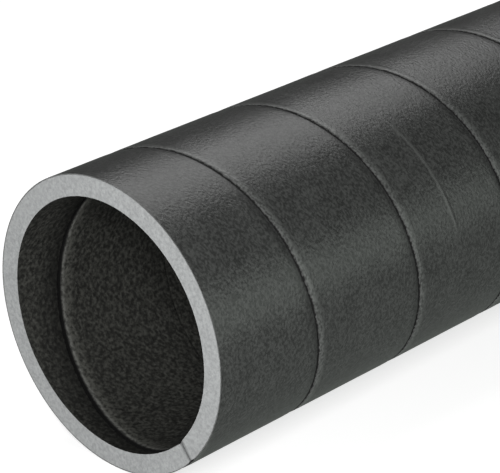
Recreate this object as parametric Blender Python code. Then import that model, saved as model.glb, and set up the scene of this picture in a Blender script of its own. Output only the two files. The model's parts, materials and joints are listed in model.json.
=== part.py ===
"""One length of pre-insulated ventilation pipe, wound from a strip of closed-cell foam.

The strip is wound edge to edge round a mandrel and its edges are welded, so the whole wall is
insulation and the pipe is a single piece. The weld shows as a right-handed helix: a shallow V
groove round the outside and another, at the same place, round the bore.

Units are metres. The pipe lies along X with its lowest face on z = 0, and the origin is below
its middle. Clock angles are seen from the -X end, looking along +X: 0 is up, and they grow
clockwise, towards -Y.
"""

import math

import bmesh
import bpy
from mathutils import Matrix, Vector

# Sizes that the pipe is ordered by
BORE_DIAMETER = 0.180
WALL_THICKNESS = 0.015
PIPE_LENGTH = 1.000

# The strip it is wound from, and the weld between two turns
STRIP_WIDTH = 0.100
SEAM_WIDTH = 0.003
SEAM_DEPTH = 0.0015
SEAM_CLOCK = math.radians(132.0)

# The round wall is a polygon with a flat facet at the bottom, the top and both sides
FACETS = 60
HALF_FACET = math.pi / FACETS

WELD_DISTANCE = 0.00001
FOAM_GREY = (0.105, 0.108, 0.104, 1.0)
FOAM_ROUGHNESS = 0.55
SHARP_ANGLE = math.radians(30.0)


def clear_scene():
    for item in list(bpy.data.objects):
        bpy.data.objects.remove(item, do_unlink=True)


def seam_pitch():
    """How far the seam moves along the pipe in one turn, for a strip wound edge to edge."""
    girth = math.pi * (BORE_DIAMETER + WALL_THICKNESS)
    lean = math.asin(STRIP_WIDTH / girth)
    return girth * math.tan(lean)


def corner_radius(flat_radius):
    """Radius of the polygon's corners when the middle of each facet is at flat_radius."""
    return flat_radius / math.cos(HALF_FACET)


def add_wound_skin(bm, surface_radius, seam_radius):
    """Wind one strip of wall surface, from its seam to its seam one turn later."""
    pitch = seam_pitch()
    turns = math.ceil(PIPE_LENGTH / pitch) + 2
    first_seam = -PIPE_LENGTH / 2 + pitch * ((HALF_FACET - SEAM_CLOCK) / math.tau - 1)
    shoulder = SEAM_WIDTH / 2
    section = [
        (first_seam, seam_radius),
        (first_seam + shoulder, surface_radius),
        (first_seam + pitch - shoulder, surface_radius),
        (first_seam + pitch, seam_radius),
    ]
    to_first_corner = Matrix.Rotation(HALF_FACET, 3, "X")
    verts = []
    for x, flat_radius in section:
        corner = Vector((x, 0.0, corner_radius(flat_radius)))
        verts.append(bm.verts.new(to_first_corner @ corner))
    edges = []
    for start, end in zip(verts, verts[1:]):
        edges.append(bm.edges.new((start, end)))
    bmesh.ops.spin(
        bm,
        geom=verts + edges,
        cent=(0.0, 0.0, 0.0),
        axis=(1.0, 0.0, 0.0),
        dvec=(pitch / FACETS, 0.0, 0.0),
        angle=math.tau * turns,
        steps=FACETS * turns,
    )


def trim_end(bm, side):
    """Saw the skins off square at one end, and close the wall there with the cut face."""
    end = side * PIPE_LENGTH / 2
    bmesh.ops.bisect_plane(
        bm,
        geom=bm.verts[:] + bm.edges[:] + bm.faces[:],
        plane_co=(end, 0.0, 0.0),
        plane_no=(side, 0.0, 0.0),
        clear_outer=True,
    )
    rims = []
    for edge in bm.edges:
        if edge.is_boundary and all(abs(vert.co.x - end) < WELD_DISTANCE for vert in edge.verts):
            rims.append(edge)
    bmesh.ops.triangle_fill(bm, use_beauty=True, edges=rims, normal=(side, 0.0, 0.0))


def build_pipe_mesh():
    bore_radius = BORE_DIAMETER / 2
    outer_radius = bore_radius + WALL_THICKNESS
    bm = bmesh.new()
    add_wound_skin(bm, outer_radius, outer_radius - SEAM_DEPTH)
    add_wound_skin(bm, bore_radius, bore_radius + SEAM_DEPTH)
    bmesh.ops.remove_doubles(bm, verts=bm.verts[:], dist=WELD_DISTANCE)
    for side in (-1, 1):
        trim_end(bm, side)
    bmesh.ops.translate(bm, verts=bm.verts[:], vec=(0.0, 0.0, outer_radius))
    bmesh.ops.recalc_face_normals(bm, faces=bm.faces[:])
    mesh = bpy.data.meshes.new("foam_pipe")
    bm.to_mesh(mesh)
    bm.free()
    mesh.shade_smooth()
    mesh.set_sharp_from_angle(angle=SHARP_ANGLE)
    return mesh


def foam_material():
    material = bpy.data.materials.new("grey_foam")
    material.use_nodes = True
    shader = material.node_tree.nodes["Principled BSDF"]
    shader.inputs["Base Color"].default_value = FOAM_GREY
    shader.inputs["Roughness"].default_value = FOAM_ROUGHNESS
    shader.inputs["Metallic"].default_value = 0.0
    return material


def main():
    clear_scene()
    mesh = build_pipe_mesh()
    mesh.materials.append(foam_material())
    pipe = bpy.data.objects.new("foam_pipe", mesh)
    bpy.context.scene.collection.objects.link(pipe)


main()
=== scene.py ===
# %% [markdown]
# # A length of foam ventilation pipe
#
# The real object is a pipe for fresh air, and its wall is nothing but insulation: 15 mm of grey
# closed-cell foam round a 180 mm bore. It is made from a flat strip of foam, about 100 mm wide,
# that is wound edge to edge round a drum while its edges are melted together. That is why one
# slanting seam runs round and round the pipe, inside and out.
#
# A plain, exact model of the pipe already exists. This lesson dresses it: it winds a finer skin
# the way the factory does, gives it three finishes (the outer skin, the rougher bore and the pale
# sawn ends) and sets it under soft studio light.

# %% Load the plain model
import json
import math

import bmesh
import bpy
from mathutils import Matrix, Vector

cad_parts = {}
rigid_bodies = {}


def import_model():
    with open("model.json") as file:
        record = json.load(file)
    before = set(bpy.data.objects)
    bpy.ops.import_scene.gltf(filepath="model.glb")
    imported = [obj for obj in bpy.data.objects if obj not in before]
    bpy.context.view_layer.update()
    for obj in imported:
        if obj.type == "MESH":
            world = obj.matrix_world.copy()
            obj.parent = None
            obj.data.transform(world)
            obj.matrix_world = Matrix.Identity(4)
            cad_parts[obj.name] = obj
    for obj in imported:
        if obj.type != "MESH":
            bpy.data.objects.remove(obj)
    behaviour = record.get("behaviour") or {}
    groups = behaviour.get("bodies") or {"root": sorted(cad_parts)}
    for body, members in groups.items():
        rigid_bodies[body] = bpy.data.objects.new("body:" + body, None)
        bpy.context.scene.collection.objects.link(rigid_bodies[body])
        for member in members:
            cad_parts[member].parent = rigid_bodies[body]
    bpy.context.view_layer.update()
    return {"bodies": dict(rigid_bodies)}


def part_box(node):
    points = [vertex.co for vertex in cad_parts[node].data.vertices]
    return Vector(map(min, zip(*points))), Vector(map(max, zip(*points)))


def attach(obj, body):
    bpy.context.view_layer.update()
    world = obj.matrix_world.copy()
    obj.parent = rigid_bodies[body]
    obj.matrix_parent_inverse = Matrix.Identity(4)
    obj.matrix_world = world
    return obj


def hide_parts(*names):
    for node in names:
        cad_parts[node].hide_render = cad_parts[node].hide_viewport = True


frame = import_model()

# %% [markdown]
# ## Sizes
#
# The length, the outside radius and the height of the axis come from the plain model, so the fine
# skin can't end up a different size. The wall, the strip and the place where the seam meets the
# near end are the same driving values that the plain model was drawn from.
#
# The strip leans, so one turn moves the seam along the pipe by a little more than its width: a
# strip of width w on a girth g advances g * tan(asin(w / g)).
#
# Angles round the pipe are read as on a clock, looking into the near end: 0 is up, and they grow
# clockwise.

# %% Name the sizes
low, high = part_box("foam_pipe")
LENGTH = high.x - low.x
OUTER_RADIUS = (high.z - low.z) / 2
AXIS_HEIGHT = (high.z + low.z) / 2
NEAR_END = low.x
FAR_END = high.x

WALL = 0.015
BORE_RADIUS = OUTER_RADIUS - WALL
STRIP_WIDTH = 0.100
SEAM_CLOCK = math.radians(132.0)

GIRTH = math.tau * (BORE_RADIUS + WALL / 2)
PITCH = GIRTH * math.tan(math.asin(STRIP_WIDTH / GIRTH))
print(f"outside {OUTER_RADIUS * 2:.3f} m, bore {BORE_RADIUS * 2:.3f} m, length {LENGTH:.3f} m")
print(f"one turn of the seam: {PITCH * 1000:.1f} mm, turns: {LENGTH / PITCH:.2f}")

# %% [markdown]
# ## The camera
#
# The photograph looks down into the near end from the front right, through a long lens, so the
# pipe hardly tapers and its far part runs out of the top right corner. The place and the lens were
# worked out from the two ellipses of the near end and from the pipe's straight edges. Aiming at a
# named point keeps the camera level, and easy to move.

# %% Set up the camera
CAMERA_PLACE = Vector((-1.4339, -1.0343, 0.8352))
CAMERA_AIM = Vector((-0.3658, 0.0, 0.1243))
LENS_MM = 172.6
SENSOR_MM = 36.0

camera_data = bpy.data.cameras.new("camera")
camera_data.lens = LENS_MM
camera_data.sensor_width = SENSOR_MM
camera = bpy.data.objects.new("camera", camera_data)
camera.location = CAMERA_PLACE
camera.rotation_mode = "QUATERNION"
camera.rotation_quaternion = (CAMERA_AIM - CAMERA_PLACE).to_track_quat("-Z", "Y")
bpy.context.scene.collection.objects.link(camera)
bpy.context.scene.camera = camera
print("camera looks", tuple(round(c, 3) for c in (CAMERA_AIM - CAMERA_PLACE).normalized()))

# %% [markdown]
# ## Helpers for modelling by hand
#
# Blender's operators act on whatever is selected. These helpers start each piece with nothing
# selected, and pick vertices, edges or faces by where they are, the way a box select would.

# %% Helpers for selecting
def deselect_all():
    bpy.ops.object.select_all(action="DESELECT")


def edit(piece):
    deselect_all()
    bpy.context.view_layer.objects.active = piece
    piece.select_set(True)
    bpy.ops.object.mode_set(mode="EDIT")


def leave_edit():
    bpy.ops.object.mode_set(mode="OBJECT")


def pick(piece, kind, wanted):
    """Select each vertex, edge or face of the piece in edit mode for which wanted(element) is true."""
    bpy.ops.mesh.select_mode(type=kind)
    bpy.ops.mesh.select_all(action="DESELECT")
    mesh = bmesh.from_edit_mesh(piece.data)
    elements = {"VERT": mesh.verts, "EDGE": mesh.edges, "FACE": mesh.faces}[kind]
    count = 0
    for element in elements:
        if wanted(element):
            element.select_set(True)
            count += 1
    bmesh.update_edit_mesh(piece.data)
    return count


def middle(element):
    return sum((vert.co for vert in element.verts), Vector()) / len(element.verts)


# %% [markdown]
# ## One strip, seen on edge
#
# The foam strip is flat in the middle, and its two edges are drawn in where they were melted
# together. Seen on edge, its surface is a long low arch with a short steep drop at each end. Two
# neighbouring drops make the V of the seam. The edge before the seam sank more than the edge past
# it, so each turn starts with a low step.
#
# The section starts as a plane stood on edge, from one seam to the next. Its face and its bottom
# edge are deleted, which leaves a chain of three edges: drop, surface, drop. The two corners are
# rounded with a vertex bevel. The surface is cut twice, the cuts are slid out to where the drawn-in
# margins begin, and the margins and the middle are then cut again, the margins more finely.

# %% Draw the strip's section
SEAM_DROP = 0.0012
SHOULDER = 0.0006
SHOULDER_ROUND = 0.0005
ROUND_STEPS = 3
MARGIN = 0.008
MARGIN_CUTS = 4


def strip_section(name, surface_radius, seam_radius, shoulder, middle_cuts):
    """A chain of edges above the pipe's axis: one strip's surface, from seam to seam."""
    drop = abs(surface_radius - seam_radius)
    deselect_all()
    bpy.ops.mesh.primitive_plane_add(
        size=1.0,
        location=(0.0, 0.0, (surface_radius + seam_radius) / 2),
        rotation=(math.radians(90), 0.0, 0.0),
    )
    section = bpy.context.object
    section.name = name
    section.scale = (PITCH, drop, 1.0)
    bpy.ops.object.transform_apply(location=True, rotation=True, scale=True)

    edit(section)
    bpy.ops.mesh.select_all(action="SELECT")
    bpy.ops.mesh.delete(type="ONLY_FACE")
    pick(section, "EDGE", lambda edge: abs(middle(edge).z - seam_radius) < drop / 4)
    bpy.ops.mesh.delete(type="EDGE")

    at_surface = (0.0, 0.0, surface_radius)
    pick(section, "VERT", lambda vert: abs(vert.co.z - surface_radius) < drop / 4)
    bpy.ops.transform.resize(value=(1 - 2 * shoulder / PITCH, 1.0, 1.0), center_override=at_surface)
    bpy.ops.mesh.bevel(offset=SHOULDER_ROUND, segments=ROUND_STEPS, affect="VERTICES")

    pick(section, "EDGE", lambda edge: edge.calc_length() > PITCH / 2)
    bpy.ops.mesh.subdivide(number_cuts=2)
    pick(section, "VERT", lambda vert: abs(vert.co.x) < PITCH / 4)
    cut_now = next(abs(v.co.x) for v in bmesh.from_edit_mesh(section.data).verts if v.select)
    bpy.ops.transform.resize(
        value=((PITCH / 2 - MARGIN) / cut_now, 1.0, 1.0), center_override=at_surface
    )
    pick(section, "EDGE", lambda edge: MARGIN / 2 < edge.calc_length() < PITCH / 2)
    bpy.ops.mesh.subdivide(number_cuts=MARGIN_CUTS)
    pick(section, "EDGE", lambda edge: edge.calc_length() > PITCH / 2)
    bpy.ops.mesh.subdivide(number_cuts=middle_cuts)
    return section


# %% [markdown]
# The margins are then drawn into the wall, more and more as they near the seam. Proportional editing
# round the seam could do it in one drag, but the bottom of the V would move with it. Moving each
# point by its own share gives the curve exactly, and leaves that bottom where it is.

# %% Draw in the margins
SAME_PLACE = 0.00001
SUNK_BEFORE_SEAM = 0.0005
SUNK_PAST_SEAM = 0.0003


def draw_in_margins(section, sunk_past, sunk_before):
    """Move each margin point by a share that grows to the seam, and leave the seam's own bottom."""
    mesh = bmesh.from_edit_mesh(section.data)
    distances = {round(PITCH / 2 - abs(vert.co.x), 6) for vert in mesh.verts}
    margin_distances = sorted(distance for distance in distances if SAME_PLACE < distance < MARGIN)
    for side, sunk in ((-1, sunk_past), (1, sunk_before)):
        for distance in margin_distances:
            x = side * (PITCH / 2 - distance)
            pick(section, "VERT", lambda vert: abs(vert.co.x - x) < SAME_PLACE)
            share = (1 - distance / MARGIN) ** 2
            bpy.ops.transform.translate(value=(0.0, 0.0, sunk * share))
    leave_edit()


OUTER_CUTS = 11
outer_skin = strip_section("outer_skin", OUTER_RADIUS, OUTER_RADIUS - SEAM_DROP, SHOULDER, OUTER_CUTS)
draw_in_margins(outer_skin, -SUNK_PAST_SEAM, -SUNK_BEFORE_SEAM)
print("points across the outer strip:", len(outer_skin.data.vertices))

# %% [markdown]
# The bore shows the strip's other face. It is drawn the same way, with its drops going outwards
# into the wall. Its shoulders are wider, because that face wasn't pressed into shape, and it has
# fewer cuts, because less of the bore is seen.

# %% Draw the bore's section
BORE_SEAM_DROP = 0.0012
BORE_SHOULDER = 0.0009
BORE_SUNK_BEFORE = 0.0006
BORE_SUNK_PAST = 0.0001
BORE_CUTS = 8
bore_skin = strip_section("bore_skin", BORE_RADIUS, BORE_RADIUS + BORE_SEAM_DROP, BORE_SHOULDER, BORE_CUTS)
draw_in_margins(bore_skin, BORE_SUNK_PAST, BORE_SUNK_BEFORE)
print("points across the bore's strip:", len(bore_skin.data.vertices))

# %% [markdown]
# ## Winding
#
# A Screw modifier does what the winding machine does: it turns the section about the pipe's axis
# and moves it along by one pitch each turn. A spin followed by moving every turn would also work,
# but the screw keeps neighbouring turns exactly a pitch apart, so their seams can be welded by
# merging the points that meet.
#
# Winding starts more than a turn before the near end and stops after the far end, which leaves
# something to saw off.

# %% Wind the two skins
WELD_DISTANCE = 0.00001
OUTER_STEPS = 144
BORE_STEPS = 120


def apply_modifier(piece, modifier):
    deselect_all()
    piece.select_set(True)
    bpy.context.view_layer.objects.active = piece
    bpy.ops.object.modifier_apply(modifier=modifier.name)


def wind(skin, steps):
    first_seam = NEAR_END - PITCH * (1 + SEAM_CLOCK / math.tau)
    edit(skin)
    bpy.ops.mesh.select_all(action="SELECT")
    bpy.ops.transform.translate(value=(first_seam + PITCH / 2, 0.0, 0.0))
    leave_edit()
    screw = skin.modifiers.new("wind", "SCREW")
    screw.axis = "X"
    screw.angle = math.tau
    screw.screw_offset = PITCH
    screw.iterations = math.ceil(LENGTH / PITCH) + 2
    screw.steps = steps
    screw.render_steps = steps
    screw.use_merge_vertices = False
    apply_modifier(skin, screw)

    edit(skin)
    bpy.ops.mesh.select_all(action="SELECT")
    bpy.ops.mesh.remove_doubles(threshold=WELD_DISTANCE)
    bpy.ops.mesh.normals_make_consistent(inside=False)
    leave_edit()


wind(outer_skin, OUTER_STEPS)
wind(bore_skin, BORE_STEPS)
print("faces outside:", len(outer_skin.data.polygons), "faces in the bore:", len(bore_skin.data.polygons))

# %% [markdown]
# ## Foam is never quite flat
#
# A foam strip bends round the drum with faint swells and hollows a few centimetres apart. At a
# quarter of a millimetre they can't be seen as shape, but they make the edge of every reflection
# wander a little, which tells the eye that this isn't machined metal. They could be a bump in the
# material, but real ones also show on the silhouette and under raking light. So a Displace modifier
# with a soft cloud texture moves the surface itself, always into the wall. The bore is less even
# than the outside, and its swells show as a slight wander of the ring's inner edge.

# %% Add the faint swells
SWELL_DEPTH = 0.00025
BORE_SWELL_DEPTH = 0.0006
SWELL_SIZE = 0.040

swells = bpy.data.textures.new("foam_swells", "CLOUDS")
swells.noise_basis = "IMPROVED_PERLIN"
swells.noise_scale = SWELL_SIZE
swells.noise_depth = 0


def add_swells(skin, depth, wall_is_inside):
    """Move each point into the wall. The skin's own faces still point away from the axis."""
    push = skin.modifiers.new("swells", "DISPLACE")
    push.texture = swells
    push.texture_coords = "LOCAL"
    push.strength = depth
    push.mid_level = 1.0 if wall_is_inside else 0.0
    apply_modifier(skin, push)
    reach = [math.hypot(vert.co.y, vert.co.z) for vert in skin.data.vertices]
    print(f"{skin.name}: from {min(reach) * 1000:.2f} to {max(reach) * 1000:.2f} mm from the axis")


add_swells(outer_skin, SWELL_DEPTH, wall_is_inside=True)
add_swells(bore_skin, BORE_SWELL_DEPTH, wall_is_inside=False)

# %% [markdown]
# ## Cut to length
#
# Both skins are sawn off square where the plain model ends. A bisect keeps what lies between the
# two planes, and cuts cleanly through the slanting seam wherever it happens to be.

# %% Saw off both ends
SAW_SNAP = 0.000001


def saw_off(skin):
    edit(skin)
    for end, outward in ((NEAR_END, -1.0), (FAR_END, 1.0)):
        bpy.ops.mesh.select_all(action="SELECT")
        bpy.ops.mesh.bisect(
            plane_co=(end, 0.0, 0.0), plane_no=(outward, 0.0, 0.0), clear_outer=True, threshold=SAW_SNAP
        )
    leave_edit()


saw_off(outer_skin)
saw_off(bore_skin)
print("faces left:", len(outer_skin.data.polygons) + len(bore_skin.data.polygons))

# %% [markdown]
# ## The wall's sawn ends
#
# The two skins become one piece, and the gap between their rims is filled at each end. The fill
# operator finds a ring's faces whatever the number of points on either side, where a bridge wants
# rims that face each other. Once the piece is closed, its faces can be turned to point outwards.

# %% Close the wall
deselect_all()
outer_skin.select_set(True)
bore_skin.select_set(True)
bpy.context.view_layer.objects.active = outer_skin
bpy.ops.object.join()
pipe = bpy.context.object
pipe.name = "wound_foam_pipe"
pipe.data.name = "wound_foam_pipe"

edit(pipe)
for end in (NEAR_END, FAR_END):
    rims = pick(pipe, "EDGE", lambda edge: edge.is_boundary and abs(middle(edge).x - end) < WELD_DISTANCE)
    bpy.ops.mesh.fill(use_beauty=True)
    print("rim edges closed:", rims)
bpy.ops.mesh.select_all(action="SELECT")
bpy.ops.mesh.normals_make_consistent(inside=False)
bpy.ops.transform.translate(value=(0.0, 0.0, AXIS_HEIGHT))
leave_edit()

# %% [markdown]
# ## The joint across the sawn faces
#
# Where the saw crosses the weld, the joint between two turns shows as a thin open line across the
# ring, a little off the straight way to the centre. It is cut with a wedge, which starts as a cube
# with one side pinched to an edge, and which a Boolean modifier takes away from the wall. The seam
# meets each sawn face at its own clock angle, because the pipe isn't a whole number of turns long.

# %% Cut the joint at both ends
JOINT_WIDTH = 0.0005
JOINT_DEPTH = 0.0016
JOINT_SLANT = math.radians(9.0)
JOINT_SPARE = 0.004


def joint_clock(end):
    return SEAM_CLOCK + math.tau * ((end - NEAR_END) / PITCH % 1.0)


def cut_joint(end, inward):
    clock = joint_clock(end)
    deselect_all()
    bpy.ops.mesh.primitive_cube_add(size=1.0, location=(0.0, 0.0, 0.0))
    wedge = bpy.context.object
    wedge.scale = (JOINT_DEPTH * 2, JOINT_WIDTH, WALL + 2 * JOINT_SPARE)
    bpy.ops.object.transform_apply(location=True, rotation=True, scale=True)
    edit(wedge)
    pick(wedge, "VERT", lambda vert: vert.co.x * inward > 0)
    bpy.ops.transform.resize(value=(1.0, 0.0, 1.0), center_override=(0.0, 0.0, 0.0))
    bpy.ops.mesh.remove_doubles(threshold=WELD_DISTANCE)
    bpy.ops.mesh.select_all(action="SELECT")
    bpy.ops.mesh.normals_make_consistent(inside=False)
    leave_edit()
    for turn, place in (
        (JOINT_SLANT, (0.0, 0.0, BORE_RADIUS + WALL / 2)),
        (clock, (end, 0.0, AXIS_HEIGHT)),
    ):
        wedge.rotation_euler = (turn, 0.0, 0.0)
        wedge.location = place
        bpy.ops.object.transform_apply(location=True, rotation=True, scale=True)

    cut = pipe.modifiers.new("joint", "BOOLEAN")
    cut.operation = "DIFFERENCE"
    cut.object = wedge
    apply_modifier(pipe, cut)
    bpy.data.objects.remove(wedge, do_unlink=True)
    print(f"joint cut at x = {end:.2f} m, clock {math.degrees(clock) % 360:.1f} degrees")


cut_joint(NEAR_END, 1.0)
cut_joint(FAR_END, -1.0)
print("faces on the pipe:", len(pipe.data.polygons))

# %% [markdown]
# ## Three surfaces on one piece
#
# The pipe is one piece of foam, but it shows three surfaces: the skin outside, the rougher face in
# the bore, and the pale cells where the saw opened it. Each gets its own material slot. Faces are
# told apart by where they are: those that look straight along the pipe are sawn, and the others
# belong to whichever skin is nearer.
#
# The edges between the surfaces stay crisp and the curved parts are shaded smooth, which is what
# smooth shading with an angle does.

# %% Share the faces out
SAWN_FACING = 0.95
CRISP_ANGLE = math.radians(35.0)


def is_sawn(face):
    return abs(face.normal.x) > SAWN_FACING


def is_outside(face):
    place = middle(face)
    return math.hypot(place.y, place.z - AXIS_HEIGHT) > BORE_RADIUS + WALL / 2


def give_material(material, wanted):
    pipe.data.materials.append(material)
    edit(pipe)
    pipe.active_material_index = len(pipe.data.materials) - 1
    count = pick(pipe, "FACE", wanted)
    bpy.ops.object.material_slot_assign()
    leave_edit()
    print(f"{material.name}: {count} faces")


deselect_all()
pipe.select_set(True)
bpy.context.view_layer.objects.active = pipe
bpy.ops.object.shade_smooth_by_angle(angle=CRISP_ANGLE)

# %% [markdown]
# ## A small language for shader maths
#
# A material is a network of nodes, and a long sum is hard to read as boxes and wires. The class
# below wraps one output of a node, so that `1 - mask * 2` in Python adds the Math nodes that it
# stands for. Its `node` method makes any other node: its type, then its settings, then what goes
# into its sockets.

# %% Wrap a node's output
class Wire:
    def __init__(self, tree, socket=None):
        self.tree = tree
        self.socket = socket

    def node(self, kind, settings, inputs, output=0):
        made = self.tree.nodes.new(kind)
        for name, value in settings.items():
            setattr(made, name, value)
        for name, value in inputs.items():
            if isinstance(value, Wire):
                self.tree.links.new(value.socket, made.inputs[name])
            else:
                made.inputs[name].default_value = value
        return Wire(self.tree, made.outputs[output] if made.outputs else None)

    def math(self, operation, *values):
        return self.node("ShaderNodeMath", {"operation": operation}, dict(enumerate((self, *values))))

    def __add__(self, other):
        return self.math("ADD", other)

    def __sub__(self, other):
        return self.math("SUBTRACT", other)

    def __mul__(self, other):
        return self.math("MULTIPLY", other)

    def __truediv__(self, other):
        return self.math("DIVIDE", other)

    def __rsub__(self, other):
        return self * -1 + other

    __radd__ = __add__
    __rmul__ = __mul__


# %% [markdown]
# A few more functions name the nodes that come up again and again. `fade` is a smooth step from one
# value to another, `noise` and `cells` are the two textures that nature is built from here, and
# `tint` blends one colour into another.
#
# A noise is built on a hidden square grid. Where a surface lies along that grid, as the top of the
# pipe would, the grid shows as rings and wrinkles. `turned` sets the grid on its corner, so that the
# pipe's axis runs from one corner of a cube to the opposite one. Then no part of the round surface
# or of the sawn ends lies along the grid. The first of the three angles only turns the grid about
# the pipe's own axis, so any value would do.
#
# The plain numbers in the sums further on are a recipe. Each says how much of one pattern goes in,
# or where a fade begins and ends, and they were found by setting renders beside the photograph.

# %% Name the common nodes
OWN_TURN = 0.62
ASKEW = (OWN_TURN, math.atan(math.sqrt(0.5)), math.radians(45))


def axis(place, index):
    return place.node("ShaderNodeSeparateXYZ", {}, {0: place}, index)


def fade(value, none_at, full_at):
    inputs = {"Value": value, "From Min": none_at, "From Max": full_at}
    return value.node("ShaderNodeMapRange", {"interpolation_type": "SMOOTHSTEP"}, inputs)


def turned(place, squeeze=1.0):
    """Coordinates for a texture, squeezed along the pipe and then turned askew."""
    inputs = {"Vector": place, "Scale": (squeeze, 1.0, 1.0), "Rotation": ASKEW}
    return place.node("ShaderNodeMapping", {}, inputs)


def noise(place, size, detail=2.0, roughness=0.5):
    inputs = {"Vector": place, "Scale": 1 / size, "Detail": detail, "Roughness": roughness}
    return place.node("ShaderNodeTexNoise", {}, inputs)


def cells(place, size, feature="F1"):
    inputs = {"Vector": place, "Scale": 1 / size}
    return place.node("ShaderNodeTexVoronoi", {"feature": feature}, inputs, "Distance")


def tint(colour, other, share):
    inputs = {0: share, 6: colour, 7: other}
    return share.node("ShaderNodeMix", {"data_type": "RGBA"}, inputs, 2)


def grey(value, red=1.0, blue=1.0):
    """A colour near grey, with its red and its blue as shares of its green."""
    return (value * red, value, value * blue, 1.0)


def start_material(name):
    """A new empty material, and its object coordinates counted from the axis at the near end."""
    material = bpy.data.materials.new(name)
    material.use_nodes = True
    material.node_tree.nodes.clear()
    anywhere = Wire(material.node_tree).node("ShaderNodeTexCoord", {}, {}, "Object")
    shift = {"Vector": anywhere, "Location": (-NEAR_END, 0.0, -AXIS_HEIGHT)}
    return material, anywhere.node("ShaderNodeMapping", {}, shift)


def finish_material(colour, roughness, height, specular):
    bump = height.node("ShaderNodeBump", {}, {"Height": height, "Distance": 1.0, "Strength": 1.0})
    inputs = {
        "Base Color": colour,
        "Roughness": roughness,
        "Normal": bump,
        "Specular IOR Level": specular,
    }
    shader = height.node("ShaderNodeBsdfPrincipled", {}, inputs)
    height.node("ShaderNodeOutputMaterial", {}, {"Surface": shader})


# %% [markdown]
# ## Where the seam is, as a number
#
# Dirt, sheen and creases on a wound pipe follow the strip, so the materials need to know how far a
# point lies from the seam. Going round by one turn and along by one pitch comes back to the same
# place on the strip. So the distance along, in pitches, minus the turn round, is a whole number on
# the seam, and what is left over from the nearest whole number is the distance from the seam. The
# jump of the clock angle at the bottom is a whole turn, which doesn't change what is left over.

# %% Measure from the seam
def from_seam(place):
    """Metres along the pipe from the nearest seam: negative before it, positive past it."""
    clock = (axis(place, 1) * -1).math("ARCTAN2", axis(place, 2))
    turns = axis(place, 0) / PITCH - (clock - SEAM_CLOCK) / math.tau
    return ((turns + 0.5).math("FRACT") - 0.5) * PITCH


# %% [markdown]
# ## Painted light and shade beside the seam
#
# The same three places lie beside the seam, outside and in the bore. The lip just past the seam is a
# narrow, ragged line that is painted paler, a painted highlight where it catches the light. The margin
# just before the seam is painted darker, as painted shade. Between them is the gap itself, which the
# finishes paint dark, also as painted shade. One function gives each of them as a share from 0 to 1,
# and the two finishes use it with their own sizes. The ragged edges come from the noise that makes the
# grain, so they follow it.

# %% Find the marks beside the seam
LIP_RAGGED = 0.006
GAP_RAGGED = 0.0022


def seam_marks(past, uneven, gap_half_width, lip_crest, lip_end, dark_margin):
    """Shares from 0 to 1: the lip past the seam (a raised bead with a painted highlight), and the margin
    before it and the gap between them (both painted shade).
    """
    ragged = past + (uneven - 0.5) * LIP_RAGGED
    lip = fade(past, 0.0, lip_crest) * fade(ragged, lip_end, lip_end * 0.4)
    margin = fade(past, -dark_margin, 0.0) * fade(past, gap_half_width, 0.0)
    from_gap = past.math("ABSOLUTE") + (uneven - 0.5) * GAP_RAGGED
    gap = fade(from_gap, gap_half_width, gap_half_width * 0.6)
    return lip, margin, gap


# %% [markdown]
# ## The outer skin
#
# The skin of the strip was pressed smooth while hot, and then puckered like fine leather as it
# cooled: soft grains a couple of millimetres across, drawn out a little round the girth where the
# strip was stretched. It is nearly black, with a satin sheen that the grains break up.
#
# A noise makes the pucker and a cell texture makes the small lumps in it. Squeezing the coordinates
# along the pipe makes every grain shorter that way. Blotches about a centimetre wide make the pucker
# a little stronger in one place than in the next, and a broad, weak cloud changes the grey and the
# sheen.
#
# Beside the seam, the lip stands up as a low bead and is painted paler, a painted highlight where it
# catches the light. The margin before it is smoother and painted darker, and the gap is painted nearly
# black, both as painted shade, so nothing shines in the gap. In one place the strip was folded half
# way between its edges before it was wound, which left a faint raised crease, painted paler as a
# painted highlight.

# %% The skin's finish
SKIN_GREY = grey(0.016, 0.97, 0.965)
SKIN_WORN = grey(0.059, 0.97, 0.965)
SKIN_LIP_HIGHLIGHT = grey(0.10, 0.97, 0.965)
SKIN_PAINTED_SHADE = grey(0.004)
SKIN_ROUGHNESS = 0.26
SKIN_SHINE = 0.4
PUCKER_SIZE = 0.0023
PUCKER_SQUEEZE = 1.25
PUCKER_HEIGHT = 0.00032
LUMP_SIZE = 0.0020
LUMP_HEIGHT = 0.00014
BLOTCH_SIZE = 0.011
CLOUD_SIZE = 0.030
DARK_MARGIN = 0.009
GAP_HALF_WIDTH = 0.0009
DULL_HALF_WIDTH = 0.0022
LIP_CREST = 0.0018
LIP_END = 0.0080
LIP_HEIGHT = 0.0003
CREASE_PLACE = 0.455 * PITCH
CREASE_WIDTH = 0.0025
CREASE_HEIGHT = 0.00060
CREASE_MIDDLE = (0.226, -0.083, 0.065)
CREASE_REACH = 0.056


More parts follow.
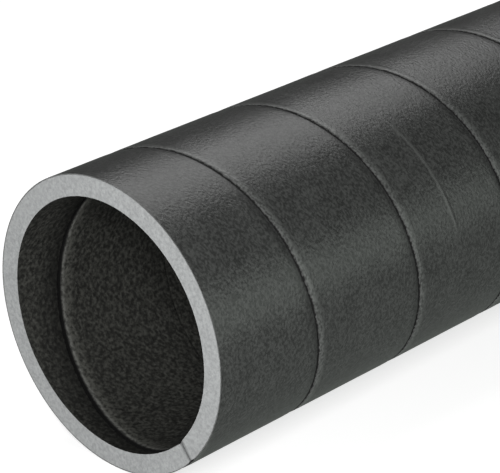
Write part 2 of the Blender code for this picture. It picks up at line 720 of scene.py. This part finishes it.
def skin_finish():
    material, place = start_material("pressed_foam_skin")
    pucker = noise(turned(place, PUCKER_SQUEEZE), PUCKER_SIZE, 2.0, 0.55)
    lumps = cells(turned(place, PUCKER_SQUEEZE), LUMP_SIZE, "SMOOTH_F1")
    blotch = noise(turned(place), BLOTCH_SIZE, 2.0)
    cloud = noise(turned(place), CLOUD_SIZE, 3.0)

    past = from_seam(place)
    lip, margin, gap = seam_marks(past, pucker, GAP_HALF_WIDTH, LIP_CREST, LIP_END, DARK_MARGIN)
    ends = {0: place, 1: CREASE_MIDDLE}
    from_fold = place.node("ShaderNodeVectorMath", {"operation": "DISTANCE"}, ends, "Value")
    folded = fade(from_fold, CREASE_REACH, CREASE_REACH * 0.6)
    crease = fade((past - CREASE_PLACE).math("ABSOLUTE"), CREASE_WIDTH, 0.0) * folded

    strength = (0.8 + fade(blotch, 0.35, 0.65) * 0.35) * (1 - margin * 0.5)
    grain = ((pucker - 0.5) * PUCKER_HEIGHT - lumps * LUMP_HEIGHT) * strength
    height = grain + lip * LIP_HEIGHT + crease * CREASE_HEIGHT
    # The crease adds a painted highlight to this share, on top of the grain's own paler tone.
    grain_and_crease_highlight = fade(pucker, 0.36, 0.66) * 0.60 + blotch * 0.35 + cloud * 0.35 + crease * 0.9
    grain_and_crease_highlight = (grain_and_crease_highlight - 0.18).math("MINIMUM", 1.0).math("MAXIMUM", 0.0)
    # Painted shade: the margin before the seam is tinted darker.
    colour = tint(tint(SKIN_GREY, SKIN_WORN, grain_and_crease_highlight), SKIN_PAINTED_SHADE, margin * 0.5)
    # Painted highlight: the lip is tinted paler where it would catch the light.
    colour = tint(colour, SKIN_LIP_HIGHLIGHT, lip * (0.2 + fade(pucker, 0.36, 0.64) * 0.7))
    # Painted shade: the gap is painted nearly black.
    colour = tint(colour, SKIN_PAINTED_SHADE, gap)
    dull = fade(past.math("ABSOLUTE"), DULL_HALF_WIDTH, GAP_HALF_WIDTH)
    roughness = SKIN_ROUGHNESS + cloud * 0.12 + dull * 0.6
    finish_material(colour, roughness, height, SKIN_SHINE)
    return material


give_material(skin_finish(), lambda face: is_outside(face) and not is_sawn(face))

# %% [markdown]
# ## The bore
#
# The other face of the strip lay against the drum without being pressed. It is duller and rougher,
# with coarse open cells, and it drinks in nearly all the light that falls on it. Near the two
# mouths the gap is wide and painted quite black, and the margin before it is painted darker, both as
# painted shade. The lip past it is painted as a pale, broken line, a painted highlight that fades out
# deeper in. Deeper in, the groove goes on, but it has the colour of the bore round it.

# %% The bore's finish
BORE_GREY = grey(0.0106, 0.99, 0.89)
BORE_PALE = grey(0.072, 0.99, 0.89)
BORE_EDGE_HIGHLIGHT = grey(0.16, 0.99, 0.93)
BORE_PAINTED_SHADE = grey(0.0015)
BORE_ROUGHNESS = 0.64
BORE_SHINE = 0.25
BORE_CELL_SIZE = 0.0030
BORE_CELL_HEIGHT = 0.0006
BORE_SPECK_SIZE = 0.0027
BORE_SPECK_HEIGHT = 0.0004
BORE_GAP_MIDDLE = 0.0004
BORE_GAP_HALF_WIDTH = 0.0026
BORE_LIP_CREST = 0.0026
BORE_LIP_END = 0.0130
BORE_DARK_MARGIN = 0.030
EDGE_HIGHLIGHT_WIDTH = 0.0024
SEAM_PAINT_FULL_TO = 0.075
SEAM_PAINT_NONE_FROM = 0.105


def bore_finish():
    material, place = start_material("open_foam_face")
    coarse = cells(turned(place), BORE_CELL_SIZE, "SMOOTH_F1")
    specks = noise(turned(place), BORE_SPECK_SIZE, 3.0, 0.62)
    cloud = noise(turned(place), CLOUD_SIZE, 2.0)

    past = from_seam(place) - BORE_GAP_MIDDLE
    lip, margin, gap = seam_marks(
        past, specks, BORE_GAP_HALF_WIDTH, BORE_LIP_CREST, BORE_LIP_END, BORE_DARK_MARGIN
    )
    depth = axis(place, 0).math("MINIMUM", LENGTH - axis(place, 0))
    # The seam's painted highlights and painted shade are strongest near the mouths and fade out deeper in.
    near_mouth = fade(depth, SEAM_PAINT_NONE_FROM, SEAM_PAINT_FULL_TO)
    line = fade((past - BORE_LIP_CREST).math("ABSOLUTE"), EDGE_HIGHLIGHT_WIDTH, 0.0)
    # Painted highlight: a pale, broken line along the lip's edge.
    painted_edge_highlight = line * (0.3 + fade(specks, 0.36, 0.62) * 0.5) * near_mouth

    height = specks * BORE_SPECK_HEIGHT - coarse * BORE_CELL_HEIGHT
    grain_and_lip_highlight = fade(specks, 0.36, 0.72) * 0.75 + cloud * 0.1
    # Painted highlight: the lip is tinted paler near the mouths.
    grain_and_lip_highlight = grain_and_lip_highlight + lip * near_mouth * (0.2 + fade(specks, 0.36, 0.60) * 0.6)
    colour = tint(BORE_GREY, BORE_PALE, grain_and_lip_highlight.math("MINIMUM", 1.0))
    # Painted shade: the margin before the seam is darkened, most near the mouths.
    colour = tint(colour, BORE_PAINTED_SHADE, margin * (0.1 + near_mouth * 0.5))
    # Painted shade: the gap is painted nearly black near the mouths.
    colour = tint(colour, BORE_PAINTED_SHADE, gap * (0.1 + near_mouth * 0.9))
    colour = tint(colour, BORE_EDGE_HIGHLIGHT, painted_edge_highlight)
    roughness = BORE_ROUGHNESS + cloud * 0.10 + gap * 0.3
    finish_material(colour, roughness, height, BORE_SHINE)
    return material


give_material(bore_finish(), lambda face: not is_outside(face) and not is_sawn(face))

# %% [markdown]
# ## The sawn ends
#
# The saw opens the cells, and their torn edges scatter light, so a sawn face looks pale grey though
# the foam is the same. The foam on both sides of the joint was melted, and is darker than the rest.
# How far a point lies across the joint and along it comes from turning its coordinates about the
# joint's middle, once for each end of the pipe.

# %% Find the melted foam beside the joint
MELTED_WIDTH = 0.0030


def melted_share(place):
    """From 0 to 1 near the joint, at whichever end of the pipe the point is."""
    radius = BORE_RADIUS + WALL / 2
    share = 0.0
    for end in (NEAR_END, FAR_END):
        clock = joint_clock(end)
        slant = clock + JOINT_SLANT
        side = axis(place, 1) + radius * math.sin(clock)
        up = axis(place, 2) - radius * math.cos(clock)
        across = (side * math.cos(slant) + up * math.sin(slant)).math("ABSOLUTE")
        along = (up * math.cos(slant) - side * math.sin(slant)).math("ABSOLUTE")
        from_end = (axis(place, 0) - (end - NEAR_END)).math("ABSOLUTE")
        melted = fade(across, MELTED_WIDTH, 0.0) * fade(along, WALL, WALL / 2)
        share = melted * fade(from_end, LENGTH, 0.0) + share
    return share


# %% [markdown]
# The mottling is mostly a fine noise, with torn cells and a broad cloud under it. The noise and the
# cells also make the bump. The pressed skin shows as a thin dark edge round the outside.

# %% The sawn finish
SAWN_GREY = grey(0.395, 0.975)
SAWN_DARK = grey(0.265, 0.975)
SAWN_MELTED = grey(0.130, 0.975)
SAWN_ROUGHNESS = 0.85
SAWN_SHINE = 0.2
TORN_CELL = 0.0032
TORN_HEIGHT = 0.00026
FLECK_SIZE = 0.0022
FLECK_HEIGHT = 0.00030
SKIN_EDGE = 0.0009


def sawn_finish():
    material, place = start_material("sawn_foam")
    torn = cells(turned(place), TORN_CELL)
    flecks = noise(turned(place), FLECK_SIZE, 3.0, 0.65)
    cloud = noise(turned(place), BLOTCH_SIZE, 2.0)
    height_above = axis(place, 2)
    side = axis(place, 1)
    radius = (side * side + height_above * height_above).math("SQRT")
    ragged = OUTER_RADIUS - SKIN_EDGE * flecks * 2
    edge = fade(radius - ragged, -SKIN_EDGE / 3, SKIN_EDGE / 3)
    dark = fade(flecks, 0.66, 0.34) * 0.55 + fade(torn, 0.35, 0.70) * 0.2 + cloud * 0.35
    colour = tint(SAWN_GREY, SAWN_DARK, dark.math("MINIMUM", 1.0))
    colour = tint(colour, SAWN_MELTED, melted_share(place) * 0.9)
    colour = tint(colour, SKIN_WORN, edge * 0.8)
    height = flecks * FLECK_HEIGHT - torn * TORN_HEIGHT
    finish_material(colour, SAWN_ROUGHNESS + cloud * 0.1, height, SAWN_SHINE)
    return material


give_material(sawn_finish(), is_sawn)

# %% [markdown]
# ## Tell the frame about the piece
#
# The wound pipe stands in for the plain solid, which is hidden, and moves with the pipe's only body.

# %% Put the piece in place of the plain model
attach(pipe, next(iter(frame["bodies"])))
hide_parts("foam_pipe")

# %% [markdown]
# ## The stage
#
# The photograph has a plain white ground that stays white right up to the pipe. A wide floor that
# glows gives nearly the same: the lamps add to its own light, and where the pipe keeps them off, only
# a faint soft shadow is left, which shows that the pipe lies on something.

# %% Lay the floor
FLOOR_SIZE = 40.0
FLOOR_GREY = grey(0.50)
FLOOR_ROUGHNESS = 0.9
FLOOR_SHINE = 0.1
FLOOR_GLOW = 0.72

deselect_all()
bpy.ops.mesh.primitive_plane_add(size=FLOOR_SIZE, location=(0.0, 0.0, 0.0))
floor = bpy.context.object
floor.name = "floor"
floor_material = bpy.data.materials.new("pale_floor")
floor_material.use_nodes = True
floor_shader = floor_material.node_tree.nodes["Principled BSDF"]
floor_shader.inputs["Base Color"].default_value = FLOOR_GREY
floor_shader.inputs["Roughness"].default_value = FLOOR_ROUGHNESS
floor_shader.inputs["Specular IOR Level"].default_value = FLOOR_SHINE
floor_shader.inputs["Emission Color"].default_value = grey(1.0)
floor_shader.inputs["Emission Strength"].default_value = FLOOR_GLOW
floor.data.materials.append(floor_material)
print("floor laid:", FLOOR_SIZE, "m wide")

# %% [markdown]
# ## Light
#
# The lamps are soft rectangular panels. Two helpers place them: one turns a panel to face a point,
# and the other gives a place beside the pipe by its clock angle.

# %% Helpers that place a panel
AXIS_POINT = Vector((0.0, 0.0, AXIS_HEIGHT))
WHITE = (1.0, 1.0, 1.0)


def add_panel(name, place, aim, length, width, watts, colour=WHITE):
    """A soft panel at a place, facing a point, with its length as nearly along X as that allows."""
    panel_data = bpy.data.lights.new(name, "AREA")
    panel_data.shape = "RECTANGLE"
    panel_data.size = width
    panel_data.size_y = length
    panel_data.energy = watts
    panel_data.color = colour
    panel = bpy.data.objects.new(name, panel_data)
    facing = aim - place
    sideways = facing.cross(Vector((1.0, 0.0, 0.0)))
    along = sideways.cross(facing)
    panel.matrix_world = Matrix(
        (sideways.normalized(), along.normalized(), -facing.normalized())
    ).transposed().to_4x4()
    panel.location = place
    panel.visible_camera = False
    bpy.context.scene.collection.objects.link(panel)
    print(name, "at", tuple(round(value, 2) for value in place))


def beside_pipe(x, clock, reach):
    """The point on the axis at x, and the point at that clock angle and reach from it."""
    aim = AXIS_POINT + Vector((x, 0.0, 0.0))
    return aim + Vector((0.0, -math.sin(clock), math.cos(clock))) * reach, aim


# %% [markdown]
# A glossy tube shows its lights as long streaks, so the lamps were placed from the streaks. The
# bright band along the top is a large panel above the pipe and a little behind it, lying the same
# way as the pipe. Its near edge gives the quick change from bright to dark down the side. A weaker,
# lower panel on the near side gives the second, softer band, which is a little green in the
# photograph. Both face the pipe's axis.
#
# A small square panel before the mouth lights the sawn face and the bore. It hangs almost in line
# with the camera, a little nearer to the pipe's own line, so its light goes as deep into the bore as
# the camera sees.

# %% Hang the panels
PANEL_MIDDLE = 0.34
PANEL_REACH = 1.22
PANEL_LENGTH = 1.7
BACK_CLOCK = math.radians(-25)
BACK_WIDTH = 1.12
BACK_WATTS = 13.2
SIDE_CLOCK = math.radians(80)
SIDE_WIDTH = 0.66
SIDE_WATTS = 4.7
FAINT_GREEN = (0.90, 1.0, 0.91)
MOUTH_PANEL_PLACE = Vector((-1.20, -0.64, 0.70))
MOUTH_PANEL_SIZE = 0.35
MOUTH_WATTS = 11.9

place, aim = beside_pipe(PANEL_MIDDLE, BACK_CLOCK, PANEL_REACH)
add_panel("back_panel", place, aim, PANEL_LENGTH, BACK_WIDTH, BACK_WATTS)
place, aim = beside_pipe(PANEL_MIDDLE, SIDE_CLOCK, PANEL_REACH)
add_panel("side_panel", place, aim, PANEL_LENGTH, SIDE_WIDTH, SIDE_WATTS, FAINT_GREEN)
mouth = Vector((NEAR_END, 0.0, AXIS_HEIGHT))
add_panel("mouth_panel", MOUTH_PANEL_PLACE, mouth, MOUTH_PANEL_SIZE, MOUTH_PANEL_SIZE, MOUTH_WATTS)

# %% [markdown]
# The rest of the room is dark grey above, and lighter and greener below, as if the floor's light
# came up from it. Only the shine of the pipe sees that, because the floor is hidden from it: a white
# floor would otherwise draw a bright edge all along the dark skin. The picture is shown with the
# Standard view, which keeps white white.

# %% Set the room's light and the view
ROOM_ABOVE = grey(0.062)
ROOM_BELOW = grey(0.22, 0.91, 0.92)
BELOW_FROM = 0.1
BELOW_FULLY = -0.5

world = bpy.data.worlds.new("studio")
world.use_nodes = True
world.node_tree.nodes.clear()
direction = Wire(world.node_tree).node("ShaderNodeTexCoord", {}, {}, "Generated")
below = fade(axis(direction, 2), BELOW_FROM, BELOW_FULLY)
room = below.node("ShaderNodeBackground", {}, {"Color": tint(ROOM_ABOVE, ROOM_BELOW, below)})
room.node("ShaderNodeOutputWorld", {}, {"Surface": room})
bpy.context.scene.world = world
bpy.context.scene.view_settings.view_transform = "Standard"
floor.visible_glossy = False
print(f"the room's brightness: {ROOM_ABOVE[1]} above, {ROOM_BELOW[1]} below")
